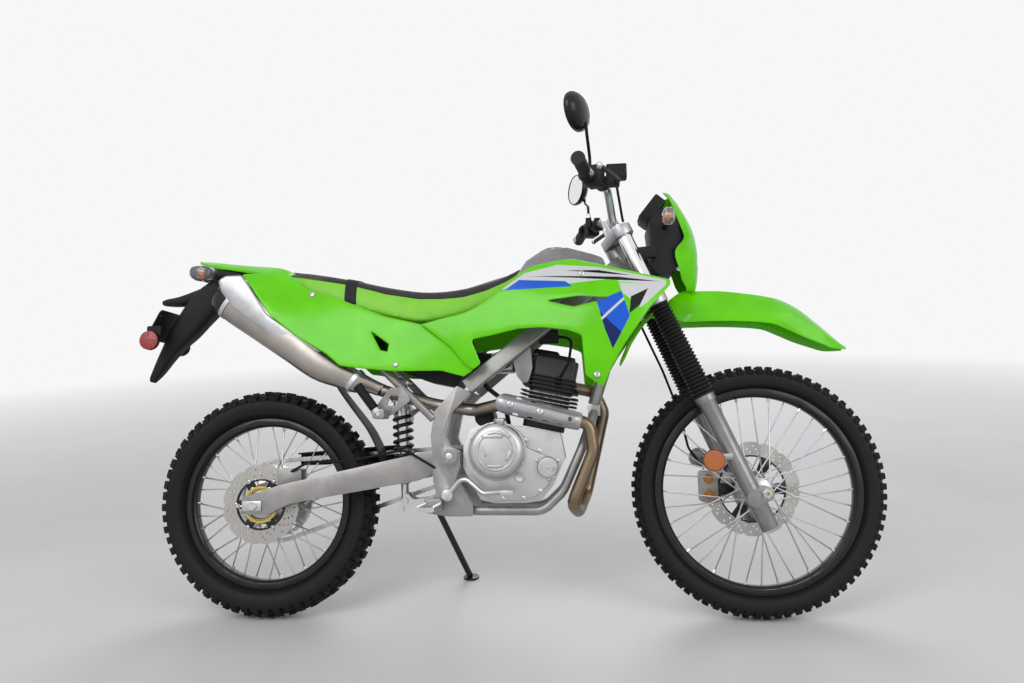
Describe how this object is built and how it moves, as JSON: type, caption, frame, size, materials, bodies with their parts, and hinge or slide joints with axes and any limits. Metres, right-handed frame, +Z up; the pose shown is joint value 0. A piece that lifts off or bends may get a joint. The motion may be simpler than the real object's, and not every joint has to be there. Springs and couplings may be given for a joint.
{
  "type": "dual sport motorcycle",
  "caption": "Single-cylinder dual sport motorcycle parked on its side stand, with knobbly tyres on wire wheels, high fenders, shrouded tank, long seat and a high muffler on the right.",
  "frame": {"origin": "middle of the footprint of the whole leaning machine, on the floor", "axes": "+X towards the front wheel, +Y to the rider's left, +Z up from the floor; the machine leans 11.74 degrees to its left about X"},
  "size_m": [2.102, 0.8442, 1.4122],
  "materials": {
    "amber_lens": "gloss",
    "bare_aluminium": "satin",
    "black_plastic": "matt",
    "black_rim": "gloss",
    "black_rubber": "matt",
    "black_steel": "satin",
    "clear_lens": "gloss",
    "green_plastic": "gloss",
    "grey_casting": "satin",
    "grey_frame": "satin",
    "red_lens": "gloss",
    "seat_cover": "matt",
    "steel": "satin",
    "titanium_steel": "satin",
    "tyre": "matt"
  },
  "bodies": {
    "chassis": {"airbox_and_throttle_body": "black_plastic", "chain_guard": "black_plastic", "crankcase": "bare_aluminium", "cylinder": "bare_aluminium", "cylinder_head": "bare_aluminium", "drive_chain": "steel", "engine_covers": "bare_aluminium", "engine_cradle": "black_steel", "exhaust_header": "titanium_steel", "foot_levers": "black_steel", "foot_pegs": "black_rubber", "fuel_tank": "black_plastic", "main_frame": "grey_frame", "muffler": "titanium_steel", "pivot_castings": "grey_casting", "plate_holder": "black_plastic", "rear_axle_and_pivot": "steel", "rear_caliper": "black_steel", "rear_fender": "green_plastic", "rear_shock_and_linkage": "steel", "rear_turn_signals": "amber_lens", "seat": "seat_cover", "side_panels": "green_plastic", "subframe": "black_steel", "swingarm": "grey_casting", "tail_lamp": "red_lens", "tail_tray": "black_plastic", "tank_shrouds": "green_plastic"},
    "steering": {"fork_legs": "black_steel", "fork_tubes": "steel", "fork_gaiters": "black_rubber", "lower_clamp_and_stem": "grey_casting", "upper_clamp": "grey_casting", "handlebar": "black_steel", "grips": "black_rubber", "bar_controls": "black_steel", "mirrors": "black_plastic", "headlamp_housing_and_meter": "black_plastic", "headlamp_lens": "clear_lens", "headlamp_mask": "green_plastic", "front_fender": "green_plastic", "front_caliper": "black_steel", "front_turn_signals": "amber_lens", "front_axle": "steel"},
    "front_wheel": {"front_tyre": "tyre", "front_rim": "black_rim", "front_hub_and_spokes": "grey_casting", "front_brake_disc": "steel"},
    "rear_wheel": {"rear_tyre": "tyre", "rear_rim": "black_rim", "rear_hub_and_spokes": "grey_casting", "rear_brake_disc": "steel", "rear_sprocket": "steel"},
    "side_stand": {"side_stand": "black_steel"}
  },
  "joints": [
    {"name": "steering_turn", "type": "hinge", "parent": "chassis", "child": "steering", "pos_m": [0.66063, -0.16178, 0.31641], "axis": [-0.4067, 0.1859, 0.8944], "range_deg": [-43, 43]},
    {"name": "front_wheel_spin", "type": "hinge", "parent": "steering", "child": "front_wheel", "pos_m": [0.70899, -0.1574, 0.33749], "axis": [0, 0.9791, -0.2035], "continuous": true},
    {"name": "rear_wheel_spin", "type": "hinge", "parent": "chassis", "child": "rear_wheel", "pos_m": [-0.67101, -0.16177, 0.31644], "axis": [0, 0.9791, -0.2035], "continuous": true},
    {"name": "side_stand_fold", "type": "hinge", "parent": "chassis", "child": "side_stand", "pos_m": [-0.21301, -0.03309, 0.26722], "axis": [0, 0.9837, 0.1796], "range_deg": [0, 105]}
  ]
}
